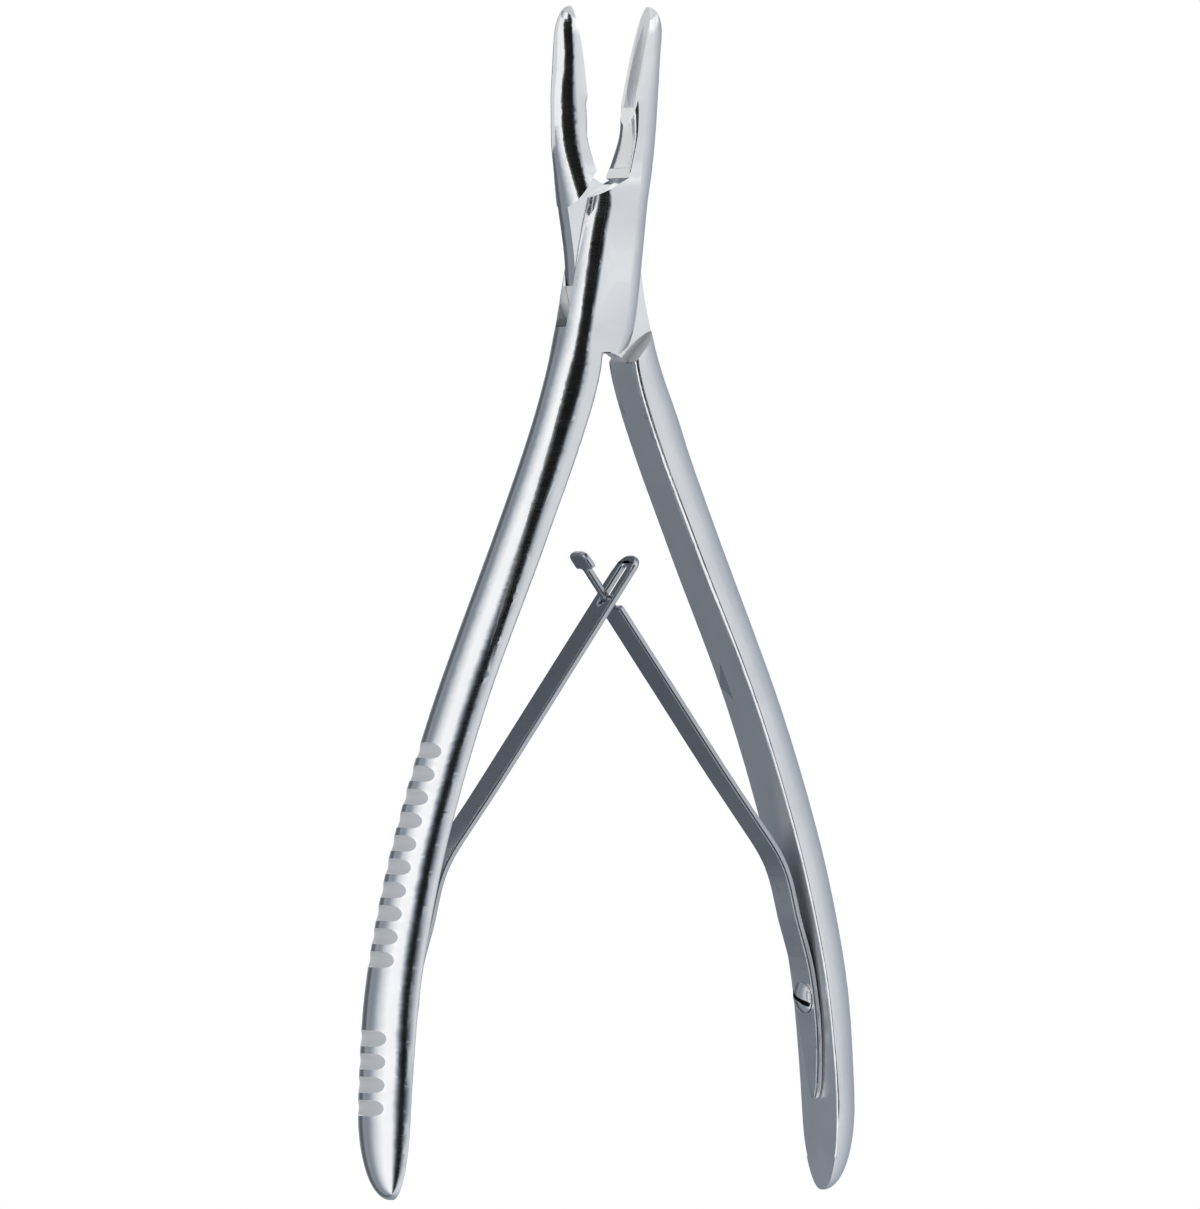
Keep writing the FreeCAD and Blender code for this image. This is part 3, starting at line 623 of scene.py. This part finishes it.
floor_data = bpy.data.meshes.new("floor")
corners = [(-1, -1), (1, -1), (1, 1), (-1, 1)]
floor_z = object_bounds()[0].z - FLOOR_GAP
floor_points = [(x * FLOOR_SIZE, y * FLOOR_SIZE, floor_z) for x, y in corners]
floor_data.from_pydata(floor_points, [], [(0, 1, 2, 3)])
floor = bpy.data.objects.new("floor", floor_data)
bpy.context.collection.objects.link(floor)
floor_white = bpy.data.materials.new("floor_white")
floor_white.use_nodes = True
floor_white.node_tree.nodes.clear()
glow = node(floor_white.node_tree, "ShaderNodeEmission")
glow.inputs["Color"].default_value = (1, 1, 1, 1)
glow.inputs["Strength"].default_value = 1.0
floor_out = node(floor_white.node_tree, "ShaderNodeOutputMaterial", (300, 0))
floor_white.node_tree.links.new(glow.outputs[0], floor_out.inputs["Surface"])
floor_data.materials.append(floor_white)
floor.visible_glossy = False
floor.visible_diffuse = False


# Studio: a tent of soft light round the instrument. The lens side is a dark card, with a white
# soft box at its left and pale walls at its right, and the far left side of the tent is dim.
# Angles go round the instrument's long axis, 0 in front of the lock and 90 at its left.
TENT = [
    (-180, 0.26),
    (-150, 0.36),
    (-110, 0.48),
    (-90, 0.56),
    (-60, 0.69),
    (-42, 0.82),
    (-26, 0.86),
    (-17, 0.76),
    (-13, 0.48),
    (-9, 0.17),
    (-5, 0.03),
    (0, 0.012),
    (9, 0.012),
    (15, 0.055),
    (21, 0.22),
    (28, 0.66),
    (36, 1.18),
    (68, 1.20),
    (85, 0.98),
    (100, 0.75),
    (114, 0.45),
    (128, 0.30),
    (143, 0.34),
    (150, 0.32),
    (157, 0.15),
    (172, 0.13),
    (180, 0.18),
]
# Levels from which the light is neutral, and below which it is as cool as it gets
TENT_NEUTRAL = 0.95
TENT_COOL = 0.45
COOL_TINT = (-0.13, -0.02, 0.11)
# The white hood beyond the jaws: where it begins and is full along Y and X, and its level
HOOD_Y = (0.30, 0.37)
HOOD_X = (0.12, 0.22)
HOOD_LEVEL = 1.15
world = bpy.data.worlds.new("studio")
bpy.context.scene.world = world
world.use_nodes = True
sky = world.node_tree
sky.nodes.clear()
toward = node(sky, "ShaderNodeTexCoord", (-900, 0))
parts = node(sky, "ShaderNodeSeparateXYZ", (-700, 0))
sky.links.new(toward.outputs["Generated"], parts.inputs[0])
left = node(sky, "ShaderNodeMath", (-520, 80), operation="MULTIPLY")
left.inputs[1].default_value = -1.0
sky.links.new(parts.outputs["X"], left.inputs[0])
angle = node(sky, "ShaderNodeMath", (-340, 40), operation="ARCTAN2")
sky.links.new(left.outputs[0], angle.inputs[0])
sky.links.new(parts.outputs["Z"], angle.inputs[1])
turn = node(sky, "ShaderNodeMapRange", (-160, 40))
turn.inputs["From Min"].default_value = -math.pi
turn.inputs["From Max"].default_value = math.pi
sky.links.new(angle.outputs[0], turn.inputs["Value"])
ramp = node(sky, "ShaderNodeValToRGB", (40, 40))
stops = ramp.color_ramp.elements
while len(stops) > 1:
    stops.remove(stops[-1])
for i, (degrees, level) in enumerate(TENT):
    at = (degrees + 180) / 360
    stop = stops[0] if i == 0 else stops.new(at)
    stop.position = at
    cool = min(max((TENT_NEUTRAL - level) / (TENT_NEUTRAL - TENT_COOL), 0), 1)
    stop.color = [level * (1 + tint * cool) for tint in COOL_TINT] + [1]
sky.links.new(turn.outputs[0], ramp.inputs[0])
beyond = node(sky, "ShaderNodeMapRange", (-340, -160))
beyond.inputs["From Min"].default_value, beyond.inputs["From Max"].default_value = HOOD_Y
sky.links.new(parts.outputs["Y"], beyond.inputs["Value"])
right = node(sky, "ShaderNodeMapRange", (-340, -420))
right.inputs["From Min"].default_value, right.inputs["From Max"].default_value = HOOD_X
sky.links.new(parts.outputs["X"], right.inputs["Value"])
hood = node(sky, "ShaderNodeMath", (-120, -260), operation="MULTIPLY")
sky.links.new(beyond.outputs[0], hood.inputs[0])
sky.links.new(right.outputs[0], hood.inputs[1])
hooded = node(sky, "ShaderNodeMix", (220, -160), data_type="RGBA")
hooded.inputs[SECOND].default_value = (HOOD_LEVEL, HOOD_LEVEL, HOOD_LEVEL, 1)
sky.links.new(hood.outputs[0], hooded.inputs[FACTOR])
sky.links.new(ramp.outputs[0], hooded.inputs[FIRST])
tent = node(sky, "ShaderNodeBackground", (420, 40))
sky.links.new(hooded.outputs[MIXED], tent.inputs["Color"])
plain = node(sky, "ShaderNodeBackground", (340, -120))
plain.inputs["Color"].default_value = (1, 1, 1, 1)
seen = node(sky, "ShaderNodeLightPath", (340, 260))
either = node(sky, "ShaderNodeMixShader", (560, 0))
sky.links.new(seen.outputs["Is Camera Ray"], either.inputs[0])
sky.links.new(tent.outputs[0], either.inputs[1])
sky.links.new(plain.outputs[0], either.inputs[2])
sky_out = node(sky, "ShaderNodeOutputWorld", (760, 0))
sky.links.new(either.outputs[0], sky_out.inputs["Surface"])
bpy.context.scene.view_settings.view_transform = "Standard"


# Cards: narrow ones that hang close round the jaws, black in front of the left jaw and white at
# the left and behind it. Each is a sheet bent round the long axis that only reflections see.
CARD_TOP = 0.065
DARK_FOOT = [(17, -0.052), (25, -0.046), (34, -0.032), (40, -0.014), (47, 0.002), (57, 0.014)]
SOFT_FROM = 27
SIDE_CARDS_AT = 0.046
LEFT_FOOT = [(66, 0.020), (90, 0.020), (118, 0.020)]
LEFT_LEVEL = 1.12
WHITE_FOOT = [(118, 0.014), (140, 0.014), (166, 0.014)]
WHITE_LEVEL = 0.84


def card(name, distance, foot, top, level):
    """Sheet whose lower edge runs through (degrees from the front towards the left, y)."""
    sheet = bpy.data.meshes.new(name)
    points = []
    for degrees, low_y in foot:
        t = math.radians(degrees)
        x = -distance * math.sin(t)
        z = MIDDLE_Z + distance * math.cos(t)
        points += [(x, low_y, z), (x, top, z)]
    faces = [(2 * i, 2 * i + 1, 2 * i + 3, 2 * i + 2) for i in range(len(foot) - 1)]
    sheet.from_pydata(points, [], faces)
    hung = bpy.data.objects.new(name, sheet)
    bpy.context.collection.objects.link(hung)
    paper = bpy.data.materials.new(name + "_paper")
    paper.use_nodes = True
    paper.node_tree.nodes.clear()
    shine = node(paper.node_tree, "ShaderNodeEmission")
    shine.inputs["Color"].default_value = (level, level, level, 1)
    paper_out = node(paper.node_tree, "ShaderNodeOutputMaterial", (300, 0))
    paper.node_tree.links.new(shine.outputs[0], paper_out.inputs["Surface"])
    sheet.materials.append(paper)
    hung.visible_camera = False
    hung.visible_diffuse = False
    hung.visible_shadow = False


# The black card, and two paler ones that show beyond its edge and soften it
for name, distance, wider, level in (
    ("dark_card", 0.040, 0, 0.008),
    ("grey_card", 0.042, 5, 0.055),
    ("dim_card", 0.044, 10, 0.22),
):
    foot = [(degrees + wider, y) for degrees, y in DARK_FOOT]
    if wider:
        foot = [(max(degrees, SOFT_FROM), y) for degrees, y in foot[1:]]
    card(name, distance, foot, CARD_TOP, level)
card("left_card", SIDE_CARDS_AT, LEFT_FOOT, CARD_TOP, LEFT_LEVEL)
card("white_card", SIDE_CARDS_AT, WHITE_FOOT, CARD_TOP, WHITE_LEVEL)


# Camera: a long lens in front of the instrument and a little to its left, level with its
# middle, as in the photograph.
CAMERA_TURN = 30.0
CAMERA_DISTANCE = 2.3
CAMERA_TARGET = Vector((-0.00105, -0.0478, 0.004))
CAMERA_ROLL = 0.2
PHOTO_HEIGHT = 1209
FOCAL_PIXELS = 16192
SENSOR = 36.0
CLIP_START = 0.1
CLIP_END = 50.0

lens = bpy.data.cameras.new("camera")
camera = bpy.data.objects.new("camera", lens)
bpy.context.collection.objects.link(camera)
turned = math.radians(CAMERA_TURN)
back = Vector((-math.sin(turned), 0, math.cos(turned)))
across = Vector((math.cos(turned), 0, math.sin(turned)))
rolled = math.radians(CAMERA_ROLL)
up = Vector((0, 1, 0)) * math.cos(rolled) + across * math.sin(rolled)
side = up.cross(back)
stand = CAMERA_TARGET + back * CAMERA_DISTANCE
camera.matrix_world = Matrix.Translation(stand) @ Matrix((side, up, back)).transposed().to_4x4()
lens.sensor_width = SENSOR
lens.lens = SENSOR * FOCAL_PIXELS / PHOTO_HEIGHT
lens.clip_start = CLIP_START
lens.clip_end = CLIP_END
bpy.context.scene.camera = camera
